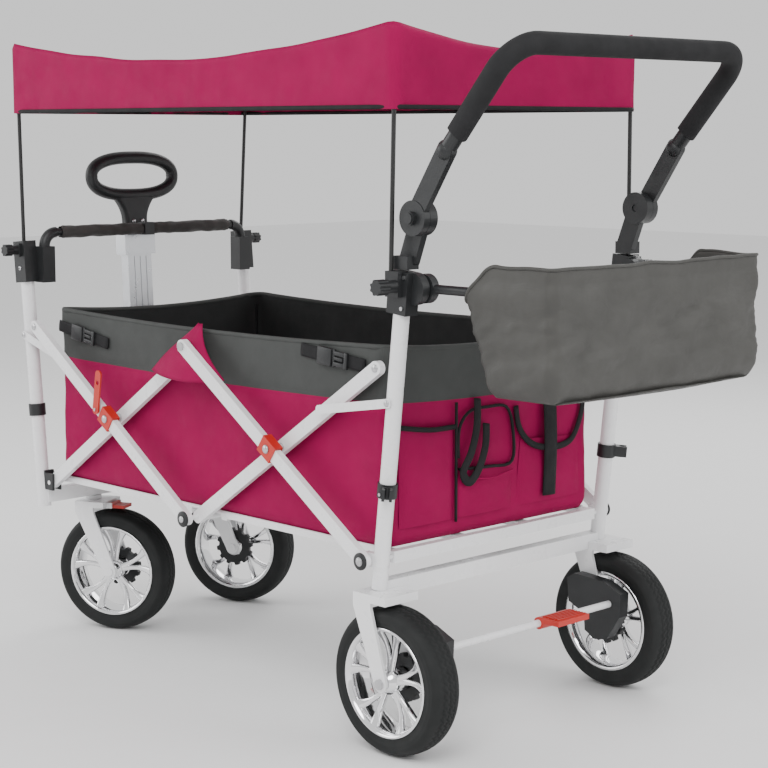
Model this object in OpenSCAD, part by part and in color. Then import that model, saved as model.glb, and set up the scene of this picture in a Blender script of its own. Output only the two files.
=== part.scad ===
// Folding pull wagon with a basket, a canopy, a push handle and a rear bag.
// +X points to the push handle, +Z up, and the wheels stand on z = 0.
// It folds lengthways: the front frame travels towards the rear frame.

/* [Wheels] */
// Outer diameter of the tyres
wheel_d = 230; // [220:1:232]
// Width of the tyres
tyre_w = 56; // [50:1:56]
// Half of the rear track, to the middle of the tyres
track_half = 260; // [258:1:262]
// Rear axle, ahead of the frame's middle
rear_hub_x = 489; // [485:1:495]
// How far each caster trails behind its swivel
caster_trail = 48; // [44:1:52]
// Angle that both casters have swivelled to at rest
caster_yaw = 27; // [0:1:40]

/* [Frame] */
// Diameter of the four corner posts
post_d = 25; // [24:0.5:26]
// Half of the distance between left and right posts
post_half = 259; // [258:1:260]
// Outward lean of the rear posts, in degrees
rear_lean = 6.4; // [6:0.1:6.8]
// Outward lean of the front posts, in degrees
front_lean = 5.3; // [5:0.1:5.6]
// Height of the lower scissor pivots
scissor_z = 295; // [294:1:296]
// Rise of each scissor bar from its lower to its upper pivot
scissor_rise = 292; // [288:1:294]
// Width of a scissor bar
bar_w = 22; // [20:1:23]

/* [Basket and canopy] */
// Half of the basket's width
basket_half = 243; // [240:1:243]
// Height of the basket's rim
basket_top = 620; // [600:1:625]
// Half of the canopy's width
canopy_half = 282; // [281:1:285]
// Height of the canopy's hem
canopy_hem = 973; // [960:1:980]
// Height of the canopy's corners
canopy_top = 1098; // [1095:1:1110]

/* [Handles] */
// Height of the push handle's cross bar
push_z = 1062; // [1050:1:1064]
// Diameter of the push handle's foam
foam_d = 33; // [30:1:34]
// Width of the pull handle's loop
loop_w = 220; // [200:1:224]

/* [Hidden] */
$fn = 48;
// Distance from the middle between the posts to the middle of the whole wagon
origin_x = 139;
wheel_r = wheel_d / 2;
axle_r = 5;
// Radial play of a pin or shaft in its hole
play = 0.05;
fork_gap = tyre_w / 2 + 2;
fork_t = 5;
// Post axes pass through this x at this height
post_foot_x = 448.5;
post_foot_z = 230;
// Layers across the width, from the inside out
inner_y0 = 247;
inner_y1 = 258;
link_y0 = 272.5;
link_y1 = 275.5;
outer_y0 = 276.5;
outer_y1 = 287.5;
pin_r = 4;
// Lower scissor pivots, rear and front, and the middle between them
rear_pivot_x = 440;
front_pivot_x = -428;
middle_x = (rear_pivot_x + front_pivot_x) / 2;
top_z = scissor_z + scissor_rise;
cross_z = scissor_z + scissor_rise / 2;
rear_cross_x = (rear_pivot_x + middle_x) / 2;
front_cross_x = (front_pivot_x + middle_x) / 2;
// Where the links meet the posts and the bars
rear_link_z = 540;
rear_link_bar = [333, top_z - (rear_pivot_x - 333) * scissor_rise / (rear_pivot_x - middle_x)];
front_link_z = 567;
front_link_bar = [-335, top_z - (93) * scissor_rise / (rear_pivot_x - middle_x)];
clamp_z0 = 674;
clamp_z1 = 738;
post_top_z = 700;
ratchet = [532, 816];
ratchet_r = 26;
arm_knee = [596, 914];
push_x = 722;
arm_r = 12.5;
arm_bend = 50;
bag_hinge = [528, 712];
rear_knob_x = 506;
// Canopy rod on the right rear post: its lower and upper end
rear_rod_a = [493.8, 276.5, 738.1];
rear_rod_b = [497, 271, 1090];
rear_rod_r = 3.5;
bag_x = [600, 790];
bag_z = [556, 752];
bag_half = 253;
stem_x = -448;
stem_half = 150;
pull_hinge = [-479, 268];
pull_lean = 3;
floor_z = 297;
floor_rear_x = 455;
// From the middle to the free end of each floor panel
floor_gap = 40;
floor_front_x = -455;
brake_axis = [527, 158];
// The round ends of a flat bar are this much larger in radius than half its width
bar_step = 0.3;
// Open clip on each post: distance from the post's axis, and bore radius
clip_reach = 26;
clip_r = 5;

function rear_x(z) = post_foot_x + (z - post_foot_z) * tan(rear_lean);
function front_x(z) = -post_foot_x - (z - post_foot_z) * tan(front_lean);

// Puts a sub-part into the frame whose origin is under the whole wagon's middle
module placed() {
    translate([-origin_x, 0, 0]) children();
}

// The right side, and its mirror image on the left
module both_sides() {
    children();
    mirror([0, 1, 0]) children();
}

// side is 1 for the right (+Y) and -1 for the left (-Y)
module on_side(side) {
    mirror([0, side < 0 ? 1 : 0, 0]) children();
}

// Round pin or bore along Y
module y_cylinder(x, z, r, y0, y1) {
    translate([x, y0, z]) rotate([-90, 0, 0]) cylinder(r = r, h = y1 - y0);
}

// Box from one corner to the opposite one
module block(low, high) {
    translate(low) cube(high - low);
}

// Flat bar with round ends between two points of the XZ plane
module bar(a, b, w, y0, y1) {
    length = norm(b - a);
    end_r = w / 2 + bar_step;
    translate([a[0], y0, a[1]]) rotate([0, -atan2(b[1] - a[1], b[0] - a[0]), 0]) difference() {
        translate([-w, 0, -w / 2]) cube([length + 2 * w, y1 - y0, w]);
        difference() {
            translate([-w - 2, -1, -w]) cube([w + 2, y1 - y0 + 2, 2 * w]);
            y_cylinder(0, 0, end_r, -2, y1 - y0 + 2);
        }
        difference() {
            translate([length, -1, -w]) cube([w + 2, y1 - y0 + 2, 2 * w]);
            y_cylinder(length, 0, end_r, -2, y1 - y0 + 2);
        }
    }
}

// Straight round tube between two points
module rod(a, b, r) {
    d = b - a;
    length = norm(d);
    translate(a) rotate([0, acos(d[2] / length), atan2(d[1], d[0])]) cylinder(r = r, h = length);
}

// Plate cut to an outline in the XZ plane
module plate(points, y0, y1) {
    translate([0, y1, 0]) rotate([90, 0, 0]) linear_extrude(y1 - y0) polygon(points);
}

module rear_posts() {
    color("whitesmoke") placed() both_sides() difference() {
        union() {
            translate([rear_x(250.5), post_half, 250.5]) rotate([0, rear_lean, 0])
                cylinder(d = post_d, h = (post_top_z - 250.5) / cos(rear_lean));
            // Lug that carries the lower scissor pivot
            block([rear_pivot_x - 11, 260, scissor_z - 11], [rear_x(scissor_z), 271, scissor_z + 11]);
        }
        y_cylinder(rear_pivot_x, scissor_z, pin_r + play, 250, 280);
        y_cylinder(rear_x(rear_link_z), rear_link_z, pin_r + play, 262, 280);
        y_cylinder(floor_rear_x, floor_z, pin_r + play, 240, 256);
    }
}

module rear_cross_bar() {
    color("whitesmoke") placed() difference() {
        block([438, -post_half, 237], [460, post_half, 262]);
        both_sides() {
            // Cut back to the fork crown and to the post
            block([425, 224.8, 230], [505, 300, 249.2]);
            translate([rear_x(200), post_half, 200]) rotate([0, rear_lean, 0])
                cylinder(d = post_d, h = 100);
        }
    }
}

// Fork crown and its two legs, for a hub at hub_x ahead of the crown
module fork(crown_x0, crown_x1, hub_x, z0, z1) {
    difference() {
        union() {
            block([crown_x0, -fork_gap - fork_t, z0], [crown_x1, fork_gap + fork_t, z1]);
            for (y = [-fork_gap - fork_t, fork_gap]) {
                plate([[crown_x0, z1], [crown_x0 + 38, z1], [crown_x0 + 38, z0 - 8],
                    [hub_x + 12.6, wheel_r + 3], [hub_x - 12.6, wheel_r - 3],
                    [crown_x0, z0 - 8]], y, y + fork_t);
                y_cylinder(hub_x, wheel_r, 13, y, y + fork_t);
            }
        }
        y_cylinder(hub_x, wheel_r, axle_r + play, -60, 60);
    }
}

module rear_forks() {
    color("whitesmoke") placed() both_sides() translate([0, track_half, 0])
        fork(430, 500, rear_hub_x, 236, 249);
}

// Through bolt with a round head and a nut, along Y
module axle_bolt(x, z, y0, y1) {
    y_cylinder(x, z, axle_r, y0, y1);
    y_cylinder(x, z, 8, y0 - 4, y0);
    y_cylinder(x, z, 8, y1, y1 + 4);
}

module rear_fasteners() {
    color("silver") placed() both_sides() {
        axle_bolt(rear_hub_x, wheel_r, track_half - fork_gap - fork_t, track_half + fork_gap + fork_t);
        for (z = [683, 729])
            y_cylinder(rear_x(z) + 12, z, 3, 272, 274);
        y_cylinder(rear_x(400), 400, 2.5, 274.5, 276);
    }
}

// Ring round a leaning post with an open C-clip beside it, turned to one side
module post_clip(x, z, lean, turn) {
    translate([x, post_half, z]) rotate([0, lean, 0]) rotate([0, 0, turn]) difference() {
        union() {
            translate([0, 0, -11]) cylinder(r = 15.5, h = 22);
            block([0, -8, -9], [34, 8, 9]);
        }
        translate([0, 0, -20]) cylinder(d = post_d, h = 40);
        translate([clip_reach, 0, -20]) cylinder(r = clip_r, h = 40);
        block([clip_reach + 1, -3.5, -20], [40, 3.5, 20]);
    }
}

module rear_post_clips() {
    color("dimgray") placed() both_sides()
        post_clip(rear_x(405), 405, rear_lean, 45);
}

// Leaning block along a rear post, closed over the post's top
module rear_clamps() {
    color("dimgray") placed() both_sides() difference() {
        union() {
            translate([rear_x(clamp_z0), 246, clamp_z0]) rotate([0, rear_lean, 0])
                translate([-20, 0, 0]) cube([40, 26, clamp_z1 - clamp_z0]);
            y_cylinder(bag_hinge[0] - 6, bag_hinge[1], 24, 248, 262);
            // Outer boss that carries the knob, with the canopy rod on its top
            block([486, 260, 700], [513, 281.5, clamp_z1]);
        }
        translate([rear_x(650), post_half, 650]) rotate([0, rear_lean, 0])
            cylinder(d = post_d, h = (post_top_z - 650) / cos(rear_lean));
        y_cylinder(rear_knob_x, 716, pin_r + play, 270, 290);
        y_cylinder(bag_hinge[0], bag_hinge[1], pin_r + play, 240, 256);
    }
}

module rear_rod(extra) {
    rod(rear_rod_a, rear_rod_b, rear_rod_r + extra);
}

module rear_canopy_rods() {
    color("black") placed() both_sides() rear_rod(0);
}

module handle_uprights() {
    color("dimgray") placed() both_sides() difference() {
        union() {
            bar([510, 757.5], ratchet, 32, 247, 258.5);
            y_cylinder(ratchet[0], ratchet[1], ratchet_r, 244, 259);
            block([490, 247, clamp_z1 + 2.5], [522, 271, 760]);
        }
        y_cylinder(ratchet[0], ratchet[1], 6 + play, 240, 262);
        rear_rod(0.6);
    }
}

// Push handle: ratchet discs, lower arms, and a bent tube to the cross bar
module arm_path(r) {
    d = [push_x, push_z] - arm_knee;
    length = norm(d);
    translate([arm_knee[0], post_half + 6.5, arm_knee[1]]) rotate([0, 90 - atan2(d[1], d[0]), 0]) {
        cylinder(r = r, h = length - arm_bend);
        translate([0, -arm_bend, length - arm_bend]) rotate([0, -90, 0])
            rotate_extrude(angle = 90) translate([arm_bend, 0]) circle(r = r);
        translate([0, -arm_bend, length]) rotate([90, 0, 0])
            cylinder(r = r, h = post_half + 6.5 - arm_bend);
    }
}

module push_arms() {
    color("dimgray") placed() difference() {
        both_sides() {
            bar(ratchet, arm_knee, 30, 260.5, 271);
            y_cylinder(ratchet[0], ratchet[1], ratchet_r, 259.5, 272);
            arm_path(arm_r);
            translate([arm_knee[0], post_half + 6.5, arm_knee[1]]) sphere(r = 15);
            y_cylinder(ratchet[0], ratchet[1], 6, 246, 262);
        }
        both_sides() y_cylinder(ratchet[0], ratchet[1], 10.1, 266, 280);
    }
}

module push_grip() {
    color("black") placed() difference() {
        both_sides() arm_path(foam_d / 2);
        both_sides() arm_path(arm_r);
        both_sides() y_cylinder(arm_knee[0], arm_knee[1], 34, 240, 290);
    }
}

module ratchet_button(side) {
    color("black") placed() on_side(side) {
        y_cylinder(ratchet[0], ratchet[1], 10, 270.5, 279);
        y_cylinder(ratchet[0], ratchet[1], 8, 279, 281);
    }
}

// Ribbed knob on a threaded stem, along Y
module knob(x, z, y0, length, r) {
    y_cylinder(x, z, pin_r, y0 - 9, y0 + 4);
    y_cylinder(x, z, r * 0.8, y0 + 0.5, y0 + length * 0.45);
    difference() {
        y_cylinder(x, z, r, y0 + length * 0.45, y0 + length);
        for (a = [0 : 45 : 315])
            translate([x + (r + 2) * cos(a), 0, z + (r + 2) * sin(a)])
                y_cylinder(0, 0, 4, y0 + length * 0.4, y0 + length + 1);
    }
}

module rear_knob(side) {
    color("dimgray") placed() on_side(side) knob(rear_knob_x, 716, 282, 38, 12);
}

module front_knob(side) {
    color("dimgray") placed() on_side(side) knob(front_x(724), 724, 278, 26, 11);
}

module brake_housings() {
    color("dimgray") placed() both_sides() difference() {
        plate([[436, 188], [452, 198], [515, 194], [552, 178], [550, 138], [524, 98],
            [498, 92], [476, 104], [474, 132], [440, 148]], 199, 220.5);
        y_cylinder(brake_axis[0], brake_axis[1], 6 + play, 190, 212);
    }
}

module brake_rod() {
    color("white") placed() both_sides()
        y_cylinder(brake_axis[0], brake_axis[1], 6, 0, 211);
}

module brake_pedal() {
    color("orangered") placed() difference() {
        union() {
            y_cylinder(brake_axis[0], brake_axis[1], 10, 22, 98);
            block([brake_axis[0], 22, brake_axis[1] + 1], [brake_axis[0] + 42, 98, brake_axis[1] + 10]);
            for (i = [0 : 5])
                block([brake_axis[0] + 6 + i * 6, 26, brake_axis[1] + 10],
                    [brake_axis[0] + 8 + i * 6, 94, brake_axis[1] + 12]);
        }
        y_cylinder(brake_axis[0], brake_axis[1], 6, 0, 120);
    }
}

// Wheel parts lie round the Y axis at the origin
module tyre() {
    rotate([90, 0, 0]) rotate_extrude($fn = 96)
        polygon([[86, -26], [104, -tyre_w / 2], [wheel_r - 3, -22], [wheel_r, -11],
            [wheel_r, 11], [wheel_r - 3, 22], [104, tyre_w / 2], [86, 26]]);
}

module rim() {
    rotate([90, 0, 0]) difference() {
        union() {
            rotate_extrude($fn = 96)
                polygon([[80, -27], [85.8, -27], [85.8, 27], [80, 27], [76, 18], [76, -18]]);
            for (a = [0 : 72 : 288], s = [-9, 9])
                rotate([0, 0, a + s]) translate([22, -3.5, -15]) cube([56, 7, 25]);
            cylinder(r = 17, h = 56, center = true);
            // Hub disc that the spokes spring from
            translate([0, 0, -17]) cylinder(r = 29, h = 29);
            // Toothed brake ring on the inboard side
            for (a = [0 : 30 : 330])
                rotate([0, 0, a]) translate([27, -4, -24]) cube([11, 8, 6]);
            translate([0, 0, -26]) cylinder(r = 32, h = 10);
        }
        cylinder(r = axle_r + play, h = 80, center = true);
    }
}

module at_rear_wheel(side) {
    placed() translate([rear_hub_x, side * track_half, wheel_r]) children();
}

// Caster frame: origin under the swivel, +X towards the wheel
module at_caster(side) {
    placed() translate([stem_x, side * stem_half, 0]) rotate([0, 0, caster_yaw]) children();
}

module rear_tyre(side) {
    color("black") at_rear_wheel(side) tyre();
}

module rear_rim(side) {
    color("lightgray") at_rear_wheel(side) mirror([0, side > 0 ? 1 : 0, 0]) rim();
}

module front_tyre(side) {
    color("black") at_caster(side) translate([caster_trail, 0, wheel_r]) tyre();
}

module front_rim(side) {
    color("lightgray") at_caster(side) translate([caster_trail, 0, wheel_r])
        mirror([0, side > 0 ? 1 : 0, 0]) rim();
}

module caster_fork(side) {
    color("whitesmoke") at_caster(side) {
        fork(-22, 38, caster_trail, 236, 247);
        translate([0, 0, 247]) cylinder(r = 15, h = 8);
        translate([0, 0, 250]) cylinder(r = 8, h = 26);
        axle_bolt(caster_trail, wheel_r, -fork_gap - fork_t, fork_gap + fork_t);
        // Lugs and pin of the lock tab
        for (s = [-1, 1]) block([36, s * 18.5 - 1.5, 234], [48, s * 18.5 + 1.5, 244]);
        y_cylinder(44, 239, 2, -19, 19);
    }
}

module caster_lock(side) {
    color("orangered") at_caster(side) difference() {
        union() {
            block([39, -16, 234], [72, 16, 240]);
            y_cylinder(44, 239, 5, -16, 16);
        }
        y_cylinder(44, 239, 2 + play, -20, 20);
    }
}

// Bag frame: hinge discs, arms and a cross tube behind
module bag_frame() {
    cross_x = 765;
    arm_y = 238;
    bend = 25;
    color("dimgray") placed() difference() {
        both_sides() {
            y_cylinder(bag_hinge[0], bag_hinge[1], 22, 232, 245.5);
            y_cylinder(bag_hinge[0], bag_hinge[1], pin_r, 240, 255);
            rod([bag_hinge[0] + 10, arm_y, bag_hinge[1]], [cross_x - bend, arm_y, bag_hinge[1]], 7);
            translate([cross_x - bend, arm_y - bend, bag_hinge[1]])
                rotate_extrude(angle = 90) translate([bend, 0]) circle(r = 7);
            rod([cross_x, 0, bag_hinge[1]], [cross_x, arm_y - bend, bag_hinge[1]], 7);
        }
    }
}

// Bag: open at the top, with a low wall on the wagon's side
module rear_bag() {
    t = 3;
    color("gray") placed() difference() {
        block([bag_x[0], -bag_half, bag_z[0]], [bag_x[1], bag_half, bag_z[1]]);
        block([bag_x[0] + t, -bag_half + t, bag_z[0] + t], [bag_x[1] - t, bag_half - t, bag_z[1] + t]);
        block([bag_x[0] - t, -bag_half - t, 694], [bag_x[0] + t, bag_half + t, bag_z[1] + t]);
    }
}

// Canopy: sheet roof with a hanging hem all round, open below
module canopy() {
    t = 2.5;
    color("mediumvioletred") placed() difference() {
        block([-497, -canopy_half, canopy_hem], [506, canopy_half, canopy_top]);
        block([-497 + t, -canopy_half + t, canopy_hem - t],
            [506 - t, canopy_half - t, canopy_top - t]);
    }
}

module basket() {
    t = 4;
    low = [-424, -basket_half, 307];
    high = [450, basket_half, basket_top];
    color("mediumvioletred") placed() difference() {
        block(low, high);
        block(low + [t, t, t], high + [-t, -t, t]);
    }
}

// Scissor bars, on the right side
module outer_bar(a, b, holes) {
    difference() {
        bar(a, b, bar_w, outer_y0, outer_y1);
        for (p = holes)
            y_cylinder(p[0], p[1], pin_r + play, 260, 300);
    }
}

module outer_bars_rear() {
    a = [rear_pivot_x, scissor_z];
    b = [middle_x, top_z];
    color("whitesmoke") placed() both_sides() outer_bar(a, b, [a, b, (a + b) / 2]);
}

module outer_bars_front() {
    a = [middle_x, scissor_z];
    b = [front_pivot_x, top_z];
    color("whitesmoke") placed() both_sides() outer_bar(a, b, [a, (a + b) / 2]);
}

module inner_bar(a, b, holes) {
    difference() {
        bar(a, b, bar_w, inner_y0, inner_y1);
        for (p = holes)
            y_cylinder(p[0], p[1], pin_r + play, 240, 265);
    }
}

module inner_bars_rear() {
    a = [middle_x, scissor_z];
    b = [rear_pivot_x, top_z];
    color("whitesmoke") placed() {
        both_sides() {
            inner_bar(a, b, [(a + b) / 2]);
            // Pin that also carries the front outer bar
            y_cylinder(a[0], a[1], pin_r, inner_y1 - 1, 290);
        }
        // Cross tube between the two sides
        y_cylinder(a[0], a[1], 8, -inner_y0, inner_y0);
    }
}

module inner_bars_front() {
    a = [front_pivot_x, scissor_z];
    b = [middle_x, top_z];
    color("whitesmoke") placed() both_sides() {
        inner_bar(a, b, [b, (a + b) / 2]);
        y_cylinder(a[0], a[1], pin_r, 241.5, 263.5);
    }
}

// Rivet with a head outside and a spacer between the two layers of bars
module bar_pin(p) {
    y_cylinder(p[0], p[1], pin_r, 245, 289);
    y_cylinder(p[0], p[1], 7, 289, 291);
    y_cylinder(p[0], p[1], 7, 258.5, 276);
}

module pivot_pins_rear() {
    color("silver") placed() both_sides() {
        bar_pin([rear_cross_x, cross_z]);
        bar_pin([middle_x, top_z]);
        y_cylinder(rear_pivot_x, scissor_z, pin_r, 259, 290);
        y_cylinder(rear_pivot_x, scissor_z, 7, 290, 292);
    }
}

module pivot_pins_front() {
    color("silver") placed() both_sides() {
        bar_pin([front_cross_x, cross_z]);
        y_cylinder(strap_pivot[0], strap_pivot[1], 3, outer_y1, 296);
    }
}

// Red bracket round an outer bar at a crossing; slope is the bar's angle
module red_bracket(p, slope) {
    translate([p[0], 0, p[1]]) rotate([0, slope, 0]) difference() {
        block([-17, outer_y0 - 3.5, -15], [17, outer_y1 + 2.5, 15]);
        block([-18, outer_y0, -bar_w / 2], [18, outer_y1, bar_w / 2]);
        y_cylinder(0, 0, 7.3, 260, 300);
    }
}

scissor_slope = atan(scissor_rise / (rear_pivot_x - middle_x));

module red_brackets_rear() {
    color("orangered") placed() both_sides()
        red_bracket([rear_cross_x, cross_z], scissor_slope);
}

module red_brackets_front() {
    color("orangered") placed() both_sides()
        red_bracket([front_cross_x, cross_z], scissor_slope);
}

strap_pivot = [front_cross_x - 22, cross_z + 15];

// Lock strap beside the front crossing, with a slotted end
module lock_strap(side) {
    color("orangered") placed() on_side(side) difference() {
        bar(strap_pivot, strap_pivot + [10, 62], 16, outer_y1 + 3.5, outer_y1 + 6.5);
        y_cylinder(strap_pivot[0], strap_pivot[1], 3 + play, 280, 300);
        y_cylinder(strap_pivot[0] + 8, strap_pivot[1] + 48, 4, 280, 300);
    }
}

module link(a, b) {
    bar(a, b, 14, link_y0, link_y1);
}

module rear_links() {
    post = [rear_x(rear_link_z), rear_link_z];
    color("whitesmoke") placed() both_sides() {
        link(post, rear_link_bar);
        y_cylinder(post[0], post[1], pin_r, 263, 277);
        // Bush that reaches in to the inner bar, short of it
        y_cylinder(rear_link_bar[0], rear_link_bar[1], 6, 259, link_y1);
    }
}

module front_links() {
    post = [front_x(front_link_z), front_link_z];
    color("whitesmoke") placed() both_sides() {
        link(post, front_link_bar);
        y_cylinder(post[0], post[1], pin_r, 263, 277);
    }
}

module front_posts() {
    color("whitesmoke") placed() both_sides() difference() {
        translate([front_x(248), post_half, 248]) rotate([0, -front_lean, 0])
            cylinder(d = post_d, h = (post_top_z - 248) / cos(front_lean));
        y_cylinder(front_x(front_link_z), front_link_z, pin_r + play, 262, 280);
        y_cylinder(floor_front_x, floor_z, pin_r + play, 240, 256);
    }
}

module front_cross_bar() {
    color("whitesmoke") placed() difference() {
        union() {
            block([stem_x - 12, -post_half, 256], [stem_x + 12, post_half, 280]);
            // Clevis of the pull handle
            for (s = [-1, 1])
                block([pull_hinge[0] - 10, s * 33 - 3, 258], [stem_x - 11, s * 33 + 3, 278]);
        }
        for (s = [-1, 1]) translate([stem_x, s * stem_half, 250]) cylinder(r = 8 + play, h = 27);
        y_cylinder(pull_hinge[0], pull_hinge[1], pin_r + play, -40, 40);
        both_sides() translate([front_x(200), post_half, 200]) rotate([0, -front_lean, 0])
            cylinder(d = post_d, h = 120);
    }
}

// Black brackets on each front post: at its top, at the lower scissor pivot, and a clip
module front_brackets() {
    color("dimgray") placed() both_sides() post_clip(front_x(428), 428, -front_lean, 225);
    color("dimgray") placed() both_sides() difference() {
        union() {
            translate([front_x(664), 246, 664]) rotate([0, -front_lean, 0])
                translate([-17, 0, 0]) cube([34, 27, 76]);
            block([-482, 221, 664], [-453, 247, 730]);
            block([front_x(724) - 9, 270, 712], [front_x(724) + 9, 278, 736]);
            block([-446.5, 243.6, 281], [-440.2, 263.3, 316]);
            for (y = [[243.6, 246.4], [258.8, 263.3]])
                block([-442, y[0], 281], [-417, y[1], 312]);
        }
        translate([front_x(240), post_half, 240]) rotate([0, -front_lean, 0])
            cylinder(d = post_d, h = (post_top_z - 240) / cos(front_lean));
        translate([-468, 234, 650]) cylinder(r = 10, h = 100);
        y_cylinder(front_x(724), 724, pin_r + play, 268, 290);
        y_cylinder(front_pivot_x, scissor_z, pin_r + play, 230, 270);
        front_rod(play);
    }
}

module front_rod(extra) {
    rod([-497, 259, 706], [-486, 272, 1090], 3.5 + extra);
}

module front_canopy_rods() {
    color("black") placed() both_sides() front_rod(0);
}

// Bent bar between the front brackets, with a joint block in its middle
module front_bar() {
    bend = 25;
    color("dimgray") placed() {
        both_sides() {
            rod([-468, 234, 668], [-468, 234, 730], 10);
            translate([-468, 234 - bend, 730]) rotate([90, 0, 90])
                rotate_extrude(angle = 90) translate([bend, 0]) circle(r = 10);
            rod([-468, 0, 755], [-468, 234 - bend, 755], 8);
        }
        block([-479, -11, 743], [-456, 11, 767]);
    }
}

module front_sleeves() {
    color("dimgray") placed() both_sides() difference() {
        y_cylinder(-468, 755, 13.5, 12, 200);
        y_cylinder(-468, 755, 8, 0, 202);
    }
}

// Pull handle in its own leaning frame: origin at its hinge, +Z along the channel
module at_pull() {
    placed() translate([pull_hinge[0], 0, pull_hinge[1]]) rotate([0, -pull_lean, 0]) children();
}

module pull_channel() {
    color("silver") at_pull() difference() {
        union() {
            block([-11, -28, -12], [11, 28, 446]);
            // Collar at the mouth of the channel
            block([-15, -36, 436], [15, 36, 474]);
            y_cylinder(0, 0, pin_r, -38, 38);
        }
        block([-8, -25, 14], [8, 25, 480]);
        for (y = [-14, 0, 14])
            block([9.5, y - 2, 20], [12, y + 2, 432]);
    }
}

module pull_stem() {
    color("gray") at_pull() block([-7, -24, 30], [7, 24, 500]);
}

// Loop grip with a neck down to the stem
module pull_grip() {
    end_r = 48;
    hole_r = 25;
    mid_z = 587;
    reach = loop_w / 2 - end_r;
    color("black") at_pull() translate([-12, 0, 0]) rotate([90, 0, 90]) linear_extrude(24) difference() {
        union() {
            for (s = [-1, 1]) translate([s * reach, mid_z]) circle(r = end_r);
            translate([-reach, mid_z - end_r]) square([2 * reach, 2 * end_r]);
            polygon([[-24, 478], [24, 478], [26, 510], [56, 545], [-56, 545], [-26, 510]]);
        }
        for (s = [-1, 1]) translate([s * (reach - 8), mid_z]) circle(r = hole_r);
        translate([-reach + 8, mid_z - hole_r]) square([2 * reach - 16, 2 * hole_r]);
        translate([-24.2, 470]) square([48.4, 31]);
    }
}

// Floor panel: hinged cross bar and four slats; dir points away from the hinge
module floor_panel(hinge_x, dir, reach) {
    end_x = hinge_x + dir * reach;
    block([hinge_x - 7, -238, floor_z - 9], [hinge_x + 7, 238, floor_z + 9]);
    for (y = [-228, -75, 75, 228])
        block([min(hinge_x, end_x), y - 11, floor_z], [max(hinge_x, end_x), y + 11, floor_z + 8]);
    block([min(end_x, end_x - dir * 14), -238, floor_z - 4], [max(end_x, end_x - dir * 14), 238, floor_z + 8]);
    both_sides() y_cylinder(hinge_x, floor_z, pin_r, 236, 252);
}

module floor_rear() {
    color("gainsboro") placed() floor_panel(floor_rear_x, -1, floor_rear_x - middle_x - floor_gap);
}

module floor_front() {
    color("gainsboro") placed() floor_panel(floor_front_x, 1, middle_x - floor_front_x - floor_gap);
}

// Folding mat: a stiff board on each floor panel
module floor_mat(x0, x1) {
    color("dimgray") placed() block([x0, -232, 312], [x1, 232, 318]);
}

rear_posts();
rear_cross_bar();
rear_forks();
rear_fasteners();
rear_post_clips();
rear_clamps();
handle_uprights();
brake_housings();
rear_canopy_rods();
canopy();
rear_tyre(-1);  // rear_tyre_left
rear_tyre(1);  // rear_tyre_right
rear_rim(-1);  // rear_rim_left
rear_rim(1);  // rear_rim_right
brake_rod();
brake_pedal();
push_arms();
push_grip();
ratchet_button(-1);  // ratchet_button_left
ratchet_button(1);  // ratchet_button_right
bag_frame();
rear_bag();
rear_knob(-1);  // rear_knob_left
rear_knob(1);  // rear_knob_right
front_knob(-1);  // front_knob_left
front_knob(1);  // front_knob_right
outer_bars_rear();
inner_bars_rear();
inner_bars_front();
outer_bars_front();
pivot_pins_rear();
pivot_pins_front();
red_brackets_rear();
red_brackets_front();
lock_strap(-1);  // lock_strap_left
lock_strap(1);  // lock_strap_right
rear_links();
front_links();
front_posts();
front_cross_bar();
front_brackets();
front_bar();
front_sleeves();
front_canopy_rods();
caster_fork(-1);  // caster_fork_left
caster_fork(1);  // caster_fork_right
caster_lock(-1);  // caster_lock_left
caster_lock(1);  // caster_lock_right
front_tyre(-1);  // front_tyre_left
front_tyre(1);  // front_tyre_right
front_rim(-1);  // front_rim_left
front_rim(1);  // front_rim_right
pull_channel();
pull_stem();
pull_grip();
floor_rear();
floor_front();
floor_mat(middle_x + 42, 440);  // floor_mat_rear
floor_mat(floor_front_x + 58, middle_x - 42);  // floor_mat_front
basket();
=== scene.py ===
import math
import bmesh
import bpy
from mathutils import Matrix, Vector, noise


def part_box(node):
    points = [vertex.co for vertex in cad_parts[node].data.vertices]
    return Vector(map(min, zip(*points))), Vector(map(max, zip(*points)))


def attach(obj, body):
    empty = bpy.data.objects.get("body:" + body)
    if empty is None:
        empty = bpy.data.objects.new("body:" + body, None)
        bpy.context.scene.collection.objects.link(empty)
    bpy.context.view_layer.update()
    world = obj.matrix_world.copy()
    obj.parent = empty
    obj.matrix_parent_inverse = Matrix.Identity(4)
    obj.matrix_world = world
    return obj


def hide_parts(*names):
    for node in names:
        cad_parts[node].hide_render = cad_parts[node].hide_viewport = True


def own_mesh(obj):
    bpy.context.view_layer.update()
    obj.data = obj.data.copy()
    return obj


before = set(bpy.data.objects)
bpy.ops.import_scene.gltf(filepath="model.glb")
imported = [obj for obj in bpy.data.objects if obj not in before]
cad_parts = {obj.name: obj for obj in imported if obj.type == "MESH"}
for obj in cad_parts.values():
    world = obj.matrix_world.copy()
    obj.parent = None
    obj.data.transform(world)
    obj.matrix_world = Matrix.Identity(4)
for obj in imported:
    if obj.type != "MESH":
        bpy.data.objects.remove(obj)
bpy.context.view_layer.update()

ORIGIN_X = 139.0      # mm from the middle between the posts to the whole wagon's middle
WHEEL_R = 115.0
TYRE_HALF = 28.0
TYRE_INNER_R, TREAD_EDGE_R = 86, 104
TREAD_LUGS = 60
RING_TEETH = 12
SPOKE_PAIRS = 5
REAR_HUB_X = 489.0
TRACK_HALF = 260.0
STEM_X, STEM_HALF = -448.0, 150.0
CASTER_TRAIL = 48.0
CASTER_YAW = math.radians(27)
BASKET_X = (-424.0, 450.0)
BASKET_HALF = 241.0
BASKET_Z = (307.0, 616.0)
SEAM_Z = 527.0        # where the magenta wall meets the grey band
CANOPY_X = (-497.0, 506.0)
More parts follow.
